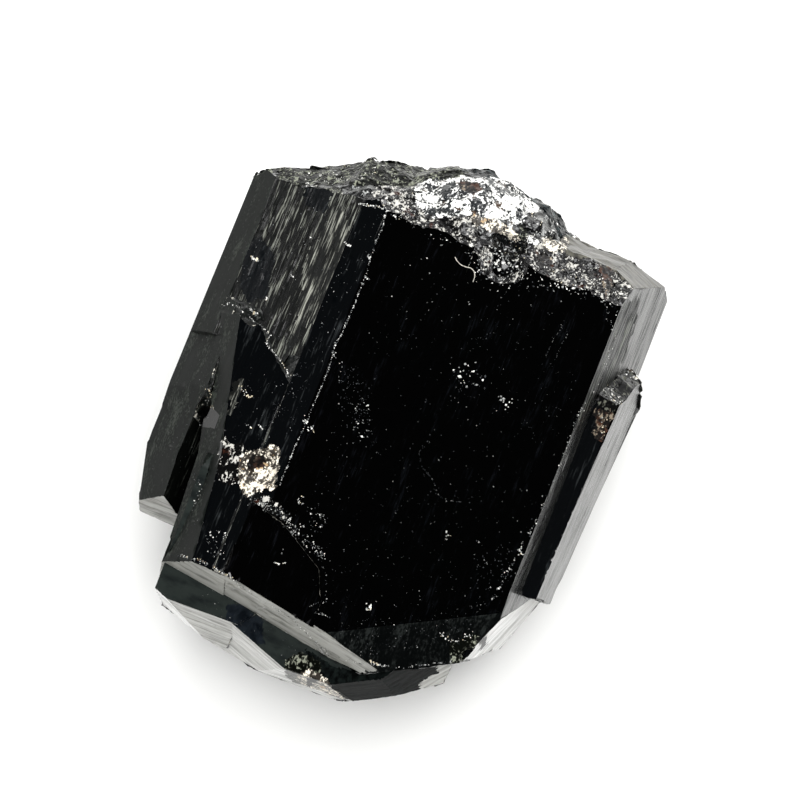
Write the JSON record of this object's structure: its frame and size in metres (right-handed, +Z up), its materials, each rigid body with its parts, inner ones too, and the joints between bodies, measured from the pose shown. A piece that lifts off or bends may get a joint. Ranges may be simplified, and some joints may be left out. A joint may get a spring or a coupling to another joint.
{
  "type": "black tourmaline crystal",
  "caption": "Stubby black tourmaline crystal with glassy grooved long faces, smaller crystals grown along its sides, stepped ledges at one end and a rough broken other end.",
  "frame": {"origin": "under the middle of the crystal's box, on the surface that the flat back face rests on", "axes": "+Z up through the smooth front face, +Y along the crystal's long axis towards its rough broken end, +X towards the slim side crystal on the right"},
  "size_m": [0.0418, 0.0518, 0.027],
  "materials": {
    "black_tourmaline": "gloss"
  },
  "bodies": {
    "root": {"crystal": "black_tourmaline"}
  },
  "joints": []
}
